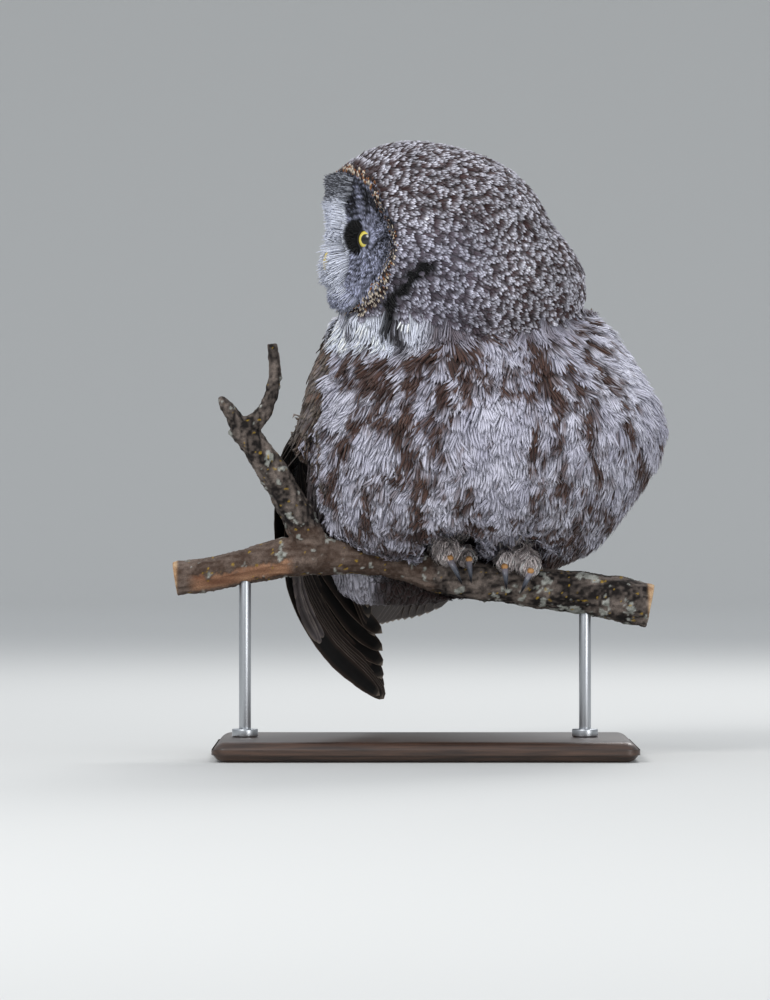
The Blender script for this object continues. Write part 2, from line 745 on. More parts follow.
FEET = (28, 91)  # across, in mm


def belly_length(roots):
    """Shorter feathers over the toes and beside the right wing"""
    x, y, z = (roots / MM).T
    near = np.maximum(*(ramp(np.abs(x - foot), 46, 28) for foot in FEET))
    over_toes = 0.7 * near * ramp(z, 282, 254) * ramp(y, 0, -20)
    by_wing = ramp(front_view(roots)[0], -84, -100) * ramp(z, 225, 245)
    return (1 - 0.62 * over_toes) * (1 - 0.45 * by_wing)


def rump_flow(points, up):
    return -0.9 * BODY_AHEAD - 0.45 * UP + 0 * points


def disc_flow(points, up):
    """Away from the nearer eye"""
    left = (points - HEAD_ORIGIN) @ HEAD_LEFT
    eyes = np.where((left > 0)[:, None], eye_centre(1), eye_centre(-1))
    return unit(points - eyes) - 0.15 * UP


def leg_flow(points, up):
    return -UP + 0.2 * np.sign(points[:, 1:2]) * np.array([0, 1, 0])


# Feathers as closed strips. Lengths are in mm, and locks is how many strips make up one feather

Coat = namedtuple(
    "Coat", "spacing length width lift seed locks rings spread curl cup free",
    defaults=(1, 5, 0, 0.15, 0.5, False),
)
COATS = {
    "hood": Coat(5.3, 13, 3.0, lift=3.8, seed=1, locks=4, spread=6, curl=0.25, cup=1),
    "discs": Coat(1.8, 9, 1.3, lift=2.8, seed=3, curl=0.3),
    "disc_rim": Coat(2.3, 6, 2.5, lift=4.2, seed=4, rings=4, curl=0.2),
    "lores": Coat(1.1, 21, 1.5, lift=0, seed=5, curl=0.1, free=True),
    "neck": Coat(7, 28, 1.8, lift=7, seed=6, locks=6, spread=13, curl=0.2, cup=2),
    "breast": Coat(7.4, 33, 2.7, lift=8, seed=7, locks=9, spread=17, curl=0.3, cup=4),
    "back": Coat(9.5, 36, 4.6, lift=6, seed=11, locks=5, spread=17, curl=0.12, cup=2),
    "rump": Coat(8, 40, 2.2, lift=8, seed=13, locks=7, spread=18, curl=0.2, cup=3),
    "wings": Coat(8, 28, 4.5, lift=4, seed=14, locks=5, spread=16, curl=0.06, cup=2),
    "legs": Coat(3.2, 24, 1.3, lift=14, seed=15, locks=3, rings=4, spread=6, curl=0.3),
    "toes": Coat(2, 13, 1.4, lift=11, seed=16, locks=2, rings=4, spread=3, curl=0.3),
}
# What a coat is painted by: where its strips lie, their stations, the places of a feather's locks and chance
Tuft = namedtuple("Tuft", "seen share place rng")
# The sections of a lock and of a flight feather, as half widths and thicknesses across and up
BARB = np.array([(-1, 0), (0, 1), (1, 0)], float)
QUILL = np.array([
    (-1, 0), (-0.92, 0.3), (-0.45, 0.8), (0, 1), (0.45, 0.8), (0.92, 0.3),
    (1, 0), (0.92, -0.1), (0.5, -0.1), (0, -0.3), (-0.5, -0.1), (-0.92, -0.1),
])


def strips(line, up, along, width, thick, profile):
    """Closed strips with one pointed end, from (N, rings, 3) lines and (N, rings) sizes"""
    across = np.cross(along, up)
    wide = (across * width[..., None])[:, :, None] * profile[:, :1]
    high = (up * thick[..., None])[:, :, None] * profile[:, 1:]
    body = (line[:, :, None] + wide + high)[:, :-1]
    count, rings, sides = len(line), line.shape[1], len(profile)
    points = np.concatenate([body.reshape(count, -1, 3), line[:, -1:]], axis=1)
    faces = [(0, k + 1, k) for k in range(1, sides - 1)]
    for ring in range(rings - 2):
        for k in range(sides):
            a, b = ring * sides + k, ring * sides + (k + 1) % sides
            faces += [(a, b, b + sides), (a, b + sides, a + sides)]
    last, tip = (rings - 2) * sides, (rings - 1) * sides
    faces += [(last + k, last + (k + 1) % sides, tip) for k in range(sides)]
    starts = np.arange(count)[:, None, None] * (tip + 1)
    return points.reshape(-1, 3), (starts + np.array(faces)).reshape(-1, 3)


def per_vertex(rings, profile):
    """Which ring and which place of the profile each vertex of a strip has"""
    sides = len(profile)
    ring = np.append(np.repeat(np.arange(rings - 1), sides), rings - 1)
    side = np.append(np.tile(np.arange(sides), rings - 1), 0)
    return ring, side


def free_lines(surface, roots, flow, length, rings, sway):
    """Lines that stand off the skin: their points, the way up and the way along"""
    points, up = surface.nearest(roots)
    ahead = unit(flow(points, up) + np.cross(up, flow(points, up)) * sway[:, None])
    share = stations(rings)
    bend = np.cross(np.cross(ahead, -UP), ahead) * 0.25
    along = unit(ahead[:, None] + bend[:, None] * share[:, None] ** 1.5)
    steps = along[:, :-1] * (length[:, None] * np.diff(share))[..., None]
    line = np.concatenate([points[:, None], points[:, None] + np.cumsum(steps, axis=1)], axis=1)
    ups = up[:, None] - along * (up[:, None] * along).sum(axis=2, keepdims=True)
    return line, unit(ups), along


def untrimmed(roots):
    return np.ones(len(roots))


def grow(surface, name, chosen, coat, flow, paint, trim=untrimmed):
    """One coat piece on the chosen triangles. paint gives middle and edge colours of each lock's rings"""
    rng = np.random.default_rng(coat.seed)
    roots, uv = surface.scatter(chosen, coat.spacing, rng)
    count, locks, rings = len(roots), coat.locks, coat.rings
    length = coat.length * MM * rng.uniform(0.8, 1.2, count) * trim(roots)
    lay = free_lines if coat.free else Surface.trace
    line, up, along = lay(surface, roots, flow, length, rings, rng.normal(0, coat.curl, count))
    share = stations(rings)
    place = np.linspace(-1, 1, locks) if locks > 1 else np.zeros(1)
    place = place + rng.normal(0, 0.12 if locks > 1 else 0, (count, locks))
    side = coat.spread * MM / 2 * place[..., None] * (0.3 + 0.7 * share ** 0.8)
    side = side + rng.normal(0, 0.05, (count, locks, 1)) * coat.length * MM * share ** 2
    lift = coat.lift * MM * rng.uniform(0.55, 1.0, (count, 1, 1)) * rng.uniform(0.75, 1.1, (count, locks, 1))
    rise = lift * share ** 1.2 - 0.8 * MM * (1 - share) ** 2 - place[..., None] ** 2 * coat.cup * MM * share
    reach = 1 + rng.normal(0, 0.06, (count, locks, 1)) - 0.16 * place[..., None] ** 2
    forward = (reach - 1) * share * length[:, None, None]
    shape = (0.6 + 0.8 * share) * np.sqrt(np.maximum(0, 1 - share ** 3.5))
    width = coat.width * MM / 2 * shape * rng.uniform(0.8, 1.2, (count, locks, 1))
    thick = np.maximum(width * 0.18, 0.15 * MM)
    line, up, along = line[:, None], up[:, None], along[:, None]
    seen = line + np.cross(along, up) * side[..., None] + along * forward[..., None]
    middle, edge = paint(Tuft(seen, share, place, rng))
    seen = seen + up * rise[..., None]
    flat = [np.broadcast_to(v, seen.shape).reshape(-1, rings, 3) for v in (seen, up, along)]
    points, triangles = strips(*flat, width.reshape(-1, rings), thick.reshape(-1, rings), BARB)
    ring, corner = per_vertex(rings, BARB)
    top = (BARB[corner, 1] * (ring < rings - 1))[:, None]
    colours = middle[:, :, ring] * top + edge[:, :, ring] * (1 - top)
    patch = np.stack([
        (place[..., None] + 0.4 * BARB[corner, 0]) * 0.35 * TUFT_PATCH,
        np.broadcast_to(share[ring] * TUFT_PATCH, (count, locks, len(ring))),
    ], -1)
    uvs = uv[:, None, None] + patch
    return mesh_object(name, points, triangles, np.clip(colours, 0, 1).reshape(-1, 3), uvs.reshape(-1, 2))


def toned(tuft, low, high, same=0.5):
    """A random tone for each lock, partly shared by the locks of one feather"""
    count, locks = tuft.place.shape
    own = tuft.rng.uniform(low, high, (count, locks))
    shared = tuft.rng.uniform(low, high, (count, 1))
    return (own * (1 - same) + shared * same)[..., None, None]


PLAIN_HOOD = 0.18  # the share of the hood's feathers without a pale spot


def paint_hood(tuft):
    """A dark feather with a pale spot at its tip"""
    dark, pale = hood_tones(tuft.seen[:, :, 2])
    dark = dark[:, :, None] * toned(tuft, 0.6, 1.2, 0.8)
    pale = pale[:, :, None] * toned(tuft, 0.7, 1.2, 0.8)
    count = len(tuft.seen)
    plain = tuft.rng.random((count, 1, 1)) < PLAIN_HOOD
    strength = np.where(plain, 0.1, tuft.rng.uniform(0.7, 1.2, (count, 1, 1)))
    bar = ramp(tuft.share, 0.56, 0.8) * (1 - 0.45 * tuft.place[..., None] ** 2)
    spot = np.clip(strength * bar, 0, 1)
    fold = crease(tuft.seen)
    return mixed(mixed(dark, pale, spot), BLACK, fold), mixed(mixed(dark, pale, spot * 0.8), BLACK, fold)


def paint_disc(tuft):
    """The disc's colour, with locks of many tones so that its rings look like fine barbs"""
    colour = disc_colour(tuft.seen) * toned(tuft, 0.4, 1.5)
    return colour * 0.9, colour


def paint_lore(tuft):
    """White bristles, with dark ones at the brow and the disc's grey at the chin"""
    above = head_places(tuft.seen[:, :, 0])[2] + tuft.rng.normal(0, 3, tuft.place.shape)
    dark = ramp(above, 30, 42) * np.where(tuft.rng.random(tuft.place.shape) < 0.6, 0.9, 0.6)
    colour = mixed(WHITE, DISC_DARK, dark)
    colour = mixed(colour, disc_colour(tuft.seen[:, :, 0]), 0.85 * ramp(above, -42, -54))[:, :, None]
    colour = colour * toned(tuft, 0.75, 1.1)
    colour = colour * (0.75 + 0.25 * ramp(tuft.share, 0, 0.5))[:, None]
    return colour, colour


def paint_rim(tuft):
    """Cream specks with rust and black between them"""
    pick = tuft.rng.random(tuft.place.shape)[..., None, None]
    above = head_places(tuft.seen[:, :, :1])[2][..., None]
    cream = 0.35 + 0.25 * ramp(above, 10, -40)
    tip = np.where(pick < cream, RIM_CREAM, np.where(pick < 0.68, RUST, DARK_BROWN)) + 0 * tuft.seen
    colour = mixed(BLACK + 0 * tuft.seen, tip, ramp(tuft.share, 0.3, 0.7) + 0 * tuft.seen[..., 0])
    return colour, colour


def paint_underparts(tuft):
    """A loose feather, brown where the markings are brown, with a paler tip"""
    rows = tuft.seen[:, :, len(tuft.share) // 2]
    brown = 0.55 * streaks(tuft.seen) + 0.45 * streaks(rows.mean(axis=1))[:, None, None]
    brown = brown + 0.3 * noise(tuft.seen / MM, 3.6, 65) + 0.03
    brown = brown + tuft.rng.normal(0, 0.12, (len(rows), 1, 1))
    brown = brown + tuft.rng.normal(0, 0.08, rows.shape[:2])[..., None]
    tip = 0.14 * ramp(tuft.share, 0.7, 1.0) + 0.1 * np.abs(tuft.place)[..., None]
    core = ramp(brown - tip, 0.1, 0.74)
    shoulder = ramp(front_view(rows)[0], 150, 200) * ramp(rows[..., 2] / MM, 330, 380)
    whiteness = 0.5 + 0.5 * noise(rows / MM, 14, 11) + 0.6 * shoulder
    pale = mixed(BELLY_PALE, BELLY_WHITE, whiteness)[:, :, None]
    dark = mixed(DARK_BROWN, WARM_BROWN, 0.5 + 0.5 * noise(rows / MM, 9, 12))[:, :, None]
    colour = mixed(pale, dark, core) * toned(tuft, 0.9, 1.1, 0.6)
    colour = colour * (0.68 + 0.32 * ramp(tuft.share, 0.1, 0.7))[:, None]
    return colour * 0.97, colour


def paint_neck(tuft):
    """Loose strands, dark at their roots"""
    colour = neck_colour(tuft.seen[:, :, len(tuft.share) // 2])[:, :, None] * toned(tuft, 0.7, 1.25)
    colour = colour * (0.55 + 0.6 * ramp(tuft.share, 0.0, 0.5))[:, None]
    return colour * 0.97, colour


def paint_back(tuft):
    """Grey-brown with wavy cross bars and a pale edge"""
    base = back_colour(tuft.seen)
    shift = tuft.rng.uniform(0, 6, (len(base), 1, 1))
    bars = 0.5 + 0.5 * np.sin(tuft.share * 15 + shift + tuft.place[..., None])
    bars = bars * (1 - vent(tuft.seen)[0])
    middle = mixed(base * 0.9, DARK_BROWN, 0.6 * bars)
    rough = (1 - vent(tuft.seen)[0]) * (0.55 * (1 - bars) + 0.3 * ramp(tuft.share, 0.7, 1.0))
    edge = mixed(base, BACK_GREY * 1.3, rough)
    tone = toned(tuft, 0.75, 1.2)
    return middle * tone, edge * tone


def paint_wing(tuft):
    """Dark brown with rusty flecks and a pale fringe"""
    place = tuft.seen[:, :, 2] / MM
    grey = mixed(DARK_BROWN, BACK_GREY, ramp(noise(place, 13, 28), -0.4, 0.6) * 0.6)
    base = mixed(grey, RUST, ramp(noise(place, 9, 25), 0.2, 0.7) * 0.45)[:, :, None]
    tone = toned(tuft, 0.6, 1.15)
    fringe = ramp(tuft.share, 0.72, 0.98) * (tuft.rng.uniform(0.1, 0.9, tuft.place.shape))[..., None]
    edge = mixed(base + 0 * tuft.seen, FEATHER_EDGE, np.clip(0.25 + fringe, 0, 1))
    return mixed(base + 0 * tuft.seen, FEATHER_EDGE, fringe) * tone, edge * tone


def vent_length(roots):
    """The vent's white feathers hang long and the others lie short under the tail"""
    x, _, z = (roots / MM).T
    return 1 - 0.55 * ramp(x, -52, -38) * ramp(z, 215, 195)


def paint_vent(tuft):
    """Long loose feathers under the tail: white beside dark brown"""
    level = 0.05 + 0.7 * vent(tuft.seen[:, :, 2])[1] + 0.5 * noise(tuft.seen[:, :, 2] / MM, 6, 24)
    colour = mixed(DARK_BROWN, BELLY_WHITE * 0.7, np.clip(level, 0, 1))[:, :, None] * toned(tuft, 0.85, 1.15)
    colour = colour * (0.8 + 0.2 * ramp(tuft.share, 0, 0.7))[:, None]
    return colour, colour


def paint_foot(tuft):
    """Hair-like feathers, mottled pale grey"""
    colour = toe_colour(tuft.seen[:, :, 2])[:, :, None] * toned(tuft, 0.85, 1.45)
    colour = colour * (0.8 + 0.2 * ramp(tuft.share, 0, 0.6))[:, None]
    return colour, colour


def rim_share(points):
    """0 in the middle of the face and 1 at the rim of the discs"""
    _, left, above = head_places(points)
    return np.hypot(left / 78, (above + 6) / 77) / (0.8 + 0.13 * ramp(above, 15, 50))


# Wings, as stations from the shoulder down: both edges as (ahead, left, height), and thickness

WINGS = {
    -1: (
        [(22, -128, 432), (11, -150, 410), (-4, -172, 347), (-28, -183, 287), (-74, -184, 217),
         (-110, -172, 157), (-143, -138, 103), (-165, -102, 70), (-183, -66, 50)],
        [(-70, -88, 440), (-104, -84, 425), (-166, -66, 372), (-212, -58, 312), (-226, -56, 252),
         (-228, -58, 200), (-220, -60, 140), (-207, -48, 94), (-190, -58, 54)],
    ),
    1: (
        [(14, 118, 432), (2, 134, 410), (-14, 154, 352), (-58, 166, 297), (-130, 152, 246), (-206, 122, 206),
         (-280, 86, 180), (-340, 56, 166), (-376, 36, 158)],
        [(-70, 80, 440), (-104, 76, 425), (-166, 60, 372), (-216, 38, 322), (-264, 18, 276), (-306, 4, 238),
         (-342, 2, 206), (-366, 8, 180), (-379, 30, 160)],
    ),
}
WING_THICK = [14, 22, 24, 22, 18, 13, 8, 5, 3]
WING_BOW = 0.13


def spline(values, t):
    """A smooth line through evenly spaced values, at shares t of its length"""
    values = np.asarray(values, float)
    at = np.clip(t, 0, 1) * (len(values) - 1)
    i = np.minimum(at.astype(int), len(values) - 2)
    f = (at - i).reshape(at.shape + (1,) * (values.ndim - 1))
    p = [values[np.clip(i + k, 0, len(values) - 1)] for k in (-1, 0, 1, 2)]
    bend = 2 * p[0] - 5 * p[1] + 4 * p[2] - p[3]
    twist = -p[0] + 3 * p[1] - 3 * p[2] + p[3]
    return 0.5 * (2 * p[1] + (p[2] - p[0]) * f + bend * f ** 2 + twist * f ** 3)


def wing_face(side, t, share):
    """Points on a wing's outer face, at t down it and a share back across it, and the way out there"""
    lead_at, trail_at = WINGS[side]
    lead, chord = spline(lead_at, t), spline(trail_at, t) - spline(lead_at, t)
    along = spline(lead_at, t + 0.02) - spline(lead_at, t - 0.02)
    out = unit(np.cross(chord, along)) * -side
    inward = ((out[..., 0] * (lead[..., 0] + 60) + out[..., 1] * lead[..., 1]) < 0) & (t < 0.5)
    out = np.where(inward[..., None], -out, out)
    height = np.interp(share, [0, 0.12, 0.42, 0.78, 1], [0, 0.55, 0.9, 0.6, 0]) * spline(WING_THICK, t)
    height = height + np.linalg.norm(chord, axis=-1) * WING_BOW * 4 * share * (1 - share)
    place = lead + chord * share[..., None] + out * height[..., None]
    axes = np.array([BODY_AHEAD, BODY_LEFT, UP])
    return BODY_ORIGIN + place @ axes * MM, out @ axes


def wing_flow(points, up):
    """Down and back along the folded wing"""
    return -UP - 0.75 * BODY_AHEAD + 0 * points


def quills(name, line, up, half, paint, thick=0.9, seed=0):
    """One piece of long closed flight feathers, from lines of points and their half widths in mm"""
    rng = np.random.default_rng(seed)
    count, rings = line.shape[:2]
    share = np.linspace(0, 1, rings)
    along = unit(np.gradient(line, axis=1))
    up = unit(up - along * (up * along).sum(axis=-1, keepdims=True))
    shape = np.minimum(1, 0.35 + 2.2 * share) * np.sqrt(np.maximum(0, 1 - share ** 6))
    ragged = 1 - 0.06 * rng.random((count, rings))
    width = half[:, None] * MM * shape * ragged
    points, triangles = strips(line, up, along, width, np.full(width.shape, thick * MM), QUILL)
    ring, corner = per_vertex(rings, QUILL)
    distance = np.linalg.norm(np.diff(line, axis=1), axis=-1).cumsum(axis=1) / MM
    distance = np.concatenate([np.zeros((count, 1)), distance], axis=1)[:, ring]
    colours = paint(distance, share[ring], QUILL[corner, 0], QUILL[corner, 1], rng)
    across = QUILL[corner, 0]
    uvs = np.stack([
        (np.arange(count)[:, None] + 0.5 + 0.45 * across) / count + 0 * distance,
        0.02 + 0.96 * share[ring] + 0 * distance,
    ], -1)
    obj = mesh_object(name, points, triangles, np.clip(colours, 0, 1).reshape(-1, 3), uvs.reshape(-1, 2))
    slant = distance - np.abs(across) * half[:, None] * 0.8
    barbs = obj.data.attributes.new("barbs", "FLOAT", "POINT")
    barbs.data.foreach_set("value", slant.astype(np.float32).ravel())
    return obj


def paint_tail(distance, share, across, height, rng):
    """As the wings' feathers, but brown below"""
    colour = paint_flight(distance, share, across, height, rng)
    below = (height < -0.05) * (1 - 0.8 * ramp(share, 0.95, 1.0))
    return mixed(colour, TAIL_UNDER, below + 0 * distance)


def paint_flight(distance, share, across, height, rng):
    """Broad dark bars on grey-brown above, nearly black below, with a pale outer edge"""
    shift = rng.uniform(0, 7, (len(distance), 1))
    order = np.arange(len(distance))[:, None]
    grain = noise(np.stack([distance / 5, across * 2 + order * 7], -1), 1, 71)
    bar = ramp(np.sin(2 * math.pi * (distance + shift) / 24 + 0.5 * np.abs(across)) + 0.5 * grain, -0.3, 0.6)
    above = mixed(FLIGHT_PALE, FLIGHT_DARK, bar)
    below = mixed(UNDER_PALE, UNDER_DARK, 0.6 + 0.4 * bar)
    below = mixed(below, UNDER_EDGE, 0.8 * ramp(np.abs(across), 0.8, 0.95) + 0 * distance)
    colour = mixed(above, below, (height < -0.05) * 1.0)
    edge = ramp(np.abs(across), 0.93, 1.0) * (height >= -0.05)
    tip = ramp(share, 0.96, 1.0)
    colour = mixed(colour, FEATHER_EDGE, np.clip(0.4 * edge + 0.4 * tip, 0, 1) + 0 * distance)
    return colour * rng.uniform(0.85, 1.15, (len(distance), 1, 1))


QUILL_RINGS = 36


def wing_quills(side, roots, tips, lifts, halves, name, seed, sweep, paint=paint_flight, faces=1):
    """Feathers laid along a wing's outer face

    roots and tips are shares down the wing and back across it. faces is -1 where feathers face in.
    """
    step = np.linspace(0, 1, QUILL_RINGS)[:, None]
    roots, tips = np.array(roots)[:, None], np.array(tips)[:, None]
    t = (roots + (tips - roots) * step)[..., 0]
    share = roots[..., 1] + (tips - roots)[..., 1] * sweep(step[:, 0])
    line, out = wing_face(side, t, share)
    hidden = 1 - ramp(step[:, 0], 0.0, 0.3)
    line = line + out * ((np.array(lifts)[:, None] * (1 - hidden) - 5 * hidden) * MM)[..., None]
    return quills(name, line, out * faces, np.array(halves, float), paint, seed=seed)


def late(step):
    """A feather that crosses the wing toward its tip"""
    return step ** 1.4


def early(step):
    """A feather that crosses the wing near its root and then runs along it"""
    return 1 - (1 - step) ** 2


def paint_lining(distance, share, across, height, rng):
    """Grey-brown with a dark shaft and a cream fringe"""
    dark = 0.3 + 0.4 * bell(across, 0.3) + 0.4 * ramp(share, 0.9, 0.4) + 0 * distance
    colour = mixed(BACK_GREY, FLIGHT_DARK, np.clip(dark, 0, 1))
    fringe = np.maximum(ramp(np.abs(across), 0.8, 1.0), ramp(share, 0.93, 1.0))
    fringe = fringe * ramp(share, 0.2, 0.7) + 0 * distance
    return mixed(colour, FEATHER_EDGE, 0.7 * fringe) * rng.uniform(0.7, 1.1, (len(distance), 1, 1))


def make_lining(name, side):
    """Rows of small coverts on the inner face, along the front edge of the hand"""
    place, row = (v.ravel() for v in np.meshgrid(np.arange(4), np.arange(6)))
    roots = np.stack([0.46 + 0.035 * row + 0.012 * (place % 2), -0.06 + 0.075 * place], -1)
    tips = roots + [0.085, 0.035]
    lifts = -9 + 0.9 * row - 1.2 * place
    halves = 6.5 + 0 * place
    return wing_quills(side, roots, tips, lifts, halves, f"lining_{name}", 35, late, paint_lining, -1)


def make_wing_quills(name, side):
    """The primaries, then the secondaries over them, then the greater coverts over those"""
    k = np.linspace(0, 1, 10)
    roots = np.stack([0.40 + 0.06 * k, 0.42 - 0.30 * k], -1)
    tips = np.stack([0.80 + 0.2 * np.sin(k * math.pi * 0.62) - 0.02 * k ** 6, 0.97 - 0.67 * k], -1)
    primaries = wing_quills(side, roots, tips, 1 - 5 * k, 17 - 3 * k, f"primaries_{name}", 31, late)
    k = np.linspace(0, 1, 14)
    roots = np.stack([0.36 - 0.08 * k, 0.22 + 0.62 * k], -1)
    tips = np.stack([0.80 - 0.30 * k, 0.90 + 0.10 * k], -1)
    secondaries = wing_quills(side, roots, tips, 2 + 5 * k, 16 + 3 * k, f"secondaries_{name}", 32, early)
    k = np.linspace(0, 1, 13)
    roots = np.stack([0.33 - 0.04 * k, 0.04 + 0.84 * k], -1)
    tips = np.stack([0.60 - 0.10 * k, 0.16 + 0.80 * k], -1)
    coverts = wing_quills(side, roots, tips, 5 + 4 * k, 12 + 0 * k, f"greater_coverts_{name}", 34, early)
    return primaries, secondaries, coverts


# Tail

TAIL = {"root": 150, "height": 236, "length": 300, "slope": math.radians(22.5), "round": 40}


def tail_point(along, left, lift):
    """A place down the tail, to its left and above its middle plane, all in mm"""
    c, s = math.cos(TAIL["slope"]), math.sin(TAIL["slope"])
    ahead = -TAIL["root"] - along * c - lift * s
    height = TAIL["height"] - along * s + lift * c
    return BODY_ORIGIN + (
        ahead[..., None] * BODY_AHEAD + left[..., None] * BODY_LEFT + height[..., None] * UP
    ) * MM


def make_tail():
    """Twelve tail feathers, the middle pair on top"""
    place = np.linspace(-1, 1, 12)[:, None]
    share = np.linspace(0.05, 1, QUILL_RINGS)
    half = (22 + 25 * np.sin(share * math.pi * 0.62)) - 9
    left = place * half
    along = share * (TAIL["length"] - TAIL["round"] * np.abs(place) ** 2.2 - 2)
    lift = 3 - 8 * np.abs(place) ** 1.5 + left * 0.2 + 2.5 * (1 - np.abs(place)) + 0 * along
    line = tail_point(along, left, lift)
    up = math.cos(TAIL["slope"]) * UP - math.sin(TAIL["slope"]) * BODY_AHEAD - 0.2 * BODY_LEFT
    up = np.broadcast_to(unit(up), line.shape)
    return quills("tail_feathers", line, up, np.full(12, 12.5), paint_tail, seed=33)


# Eyes, bill and claws

IRIS_ANGLE = math.radians(56)
PUPIL_ANGLE = math.radians(24)
EYE_AXIS_OUT = math.radians(42)
LID_AXIS_OUT = math.radians(26)
LID_OPENING = (35, 46)  # half of the opening across and up, in degrees
# Round the lid's section from its outer side over the top: radians past the opening's edge, and mm off
# the eyeball
LID_PROFILE = [
    (0.2, 1.2), (0.05, 1.25), (-0.02, 1.0), (-0.035, 0.5), (0.0, 0.15), (0.8, -0.6), (0.8, 0.2), (0.45, 0.9),
]


def eye_turn(side, outward):
    """Turns +Z to look out of an eye, with +Y upward"""
    axis = HEAD_AHEAD * math.cos(outward) + HEAD_LEFT * side * math.sin(outward)
    axes = np.stack([np.cross(UP, axis), UP, axis]).T
    rows = [[*row, place] for row, place in zip(axes, eye_centre(side))]
    return Matrix([*rows, [0, 0, 0, 1]])


def make_eye(name, side):
    """An eyeball with a bulging cornea, its pole at the pupil"""
    bpy.ops.mesh.primitive_uv_sphere_add(segments=96, ring_count=96, radius=EYE_RADIUS * MM)
    eye = bpy.context.object
    eye.name = f"eyeball_{name}"
    points = vertices(eye.data)
    angle = np.arccos(np.clip(points[:, 2] / (EYE_RADIUS * MM), -1, 1))
    around = np.arctan2(points[:, 1], points[:, 0])
    points = points * (0.985 + 0.045 * ramp(angle, IRIS_ANGLE, 0.2))[:, None]
    move_vertices(eye.data, points)
    fibre = noise(np.stack([around * 16, angle * 3], -1), 1, 41)
    rim = ramp(angle, 0.72 * IRIS_ANGLE, IRIS_ANGLE)
    iris = mixed(np.array(bpy.context.scene.owl.iris), linear("b98d1f"), rim)
    iris = iris * (0.9 + 0.12 * fibre)[:, None]
    pupil = ramp(angle, PUPIL_ANGLE + 0.03, PUPIL_ANGLE - 0.02)
    outside = ramp(angle, IRIS_ANGLE - 0.02, IRIS_ANGLE + 0.05)
    colour = mixed(iris, linear("050505"), np.maximum(pupil, outside))
    set_colours(eye.data, np.clip(colour, 0, 1))
    shade_smooth(eye.data)
    eye.data.transform(eye_turn(side, EYE_AXIS_OUT))
    return eye


def make_lid(name, side):
    """Both lids as one shell round the eyeball, rolled over at the edge of their opening"""
    sides, count = len(LID_PROFILE), 64
    bpy.ops.mesh.primitive_torus_add(
        major_segments=count, minor_segments=sides, major_radius=EYE_RADIUS * MM, minor_radius=2 * MM,
    )
    lid = bpy.context.object
    lid.name = f"lid_{name}"
    around = np.repeat(np.arange(count) * 2 * math.pi / count, sides)
    turn, out = np.tile(LID_PROFILE, (count, 1)).T
    wide, high = (math.radians(angle) for angle in LID_OPENING)
    angle = wide * high / np.hypot(high * np.cos(around), wide * np.sin(around)) + turn
    ray = np.stack([np.sin(angle) * np.cos(around), np.sin(angle) * np.sin(around), np.cos(angle)], -1)
    move_vertices(lid.data, ray * ((EYE_RADIUS + out) * MM)[:, None])
    shade_smooth(lid.data)
    lid.data.transform(eye_turn(side, LID_AXIS_OUT))
    return lid


def coloured_material(name, **values):
    """A material whose colour is the one that the mesh carries"""
    found, tree, shader = surface_material(name, **values)
    tree.links.new(own_colours(tree), shader.inputs["Base Color"])
    return found


def rounded_copy(nodes, name, levels):
    obj = copied(nodes, name)
    modify(obj, "SUBSURF", levels=levels, render_levels=levels)
    shade_smooth(obj.data)
    return obj


def make_bill():
    """Worn horn with a dull gloss, yellow along its ridge"""
    material = coloured_material("bill_horn", roughness=0.35, coat_weight=0.2)
    for node in ("bill_upper", "bill_lower"):
        obj = rounded_copy([node], f"horn_{node}", 2)
        _, left, above = head_places(vertices(obj.data))
        colour = mixed(linear("7c7650"), linear("cdb658"), np.clip(ramp(np.abs(left), 7, 1.5), 0, 1))
        set_colours(obj.data, mixed(colour, linear("5d5540"), ramp(above, -30, -42) * 0.5))
        finished(obj, material, "bill_horn", node)


def make_claws():
    """Grey horn that turns black and glossy toward the tip"""
    material = coloured_material("claw_horn", roughness=0.28, coat_weight=0.3)
    for node in CLAWS:
        obj = rounded_copy([node], f"horn_{node}", 2)
        height = vertices(obj.data)[:, 2]
        share = (height.max() - height) / np.ptp(height)
        colour = mixed(linear("8f8a92"), linear("3f4450"), ramp(share, 0.1, 0.5))
        set_colours(obj.data, mixed(colour, linear("15161b"), ramp(share, 0.45, 0.95)))
        finished(obj, material, "claw_horn", node)


PAD_RADIUS = 4.0


def make_toe_pads():
    """Bare orange skin, wrinkled and dull, where each claw leaves its toe"""
    material = surface_material("toe_pad_skin", bpy.context.scene.owl.toe_skin, roughness=0.5)[0]
    bpy.ops.mesh.primitive_uv_sphere_add(segments=20, ring_count=12, radius=PAD_RADIUS * MM)
    first = bpy.context.object
    points = vertices(first.data)
    wrinkled = points * (1 + 0.12 * noise(points / MM, 1.8, 72))[:, None]
    move_vertices(first.data, wrinkled * np.array([0.9, 1.1, 0.8]))
    shade_smooth(first.data)
    for node in CLAWS:
        points = vertices(frame["nodes"][node].data)
        top = points[points[:, 2] > points[:, 2].max() - 5 * MM].mean(axis=0)
        pad = bpy.data.objects.new(node.replace("claw", "pad"), first.data.copy())
        bpy.context.collection.objects.link(pad)
        pad.data.transform(Matrix.Translation(top + np.array([0, -1.0, 0.4]) * MM))
        finished(pad, material, "foot_plumage")
    bpy.data.objects.remove(first)


# Perch

# The middle of the branch, as places across and heights in mm
BRANCH_LINE = np.array([
    (-250, 178), (-195, 187), (-150, 198), (-105, 202), (-55, 198), (-10, 189),
    (25, 180), (85, 172), (135, 166.5), (175, 162), (225, 151),
])


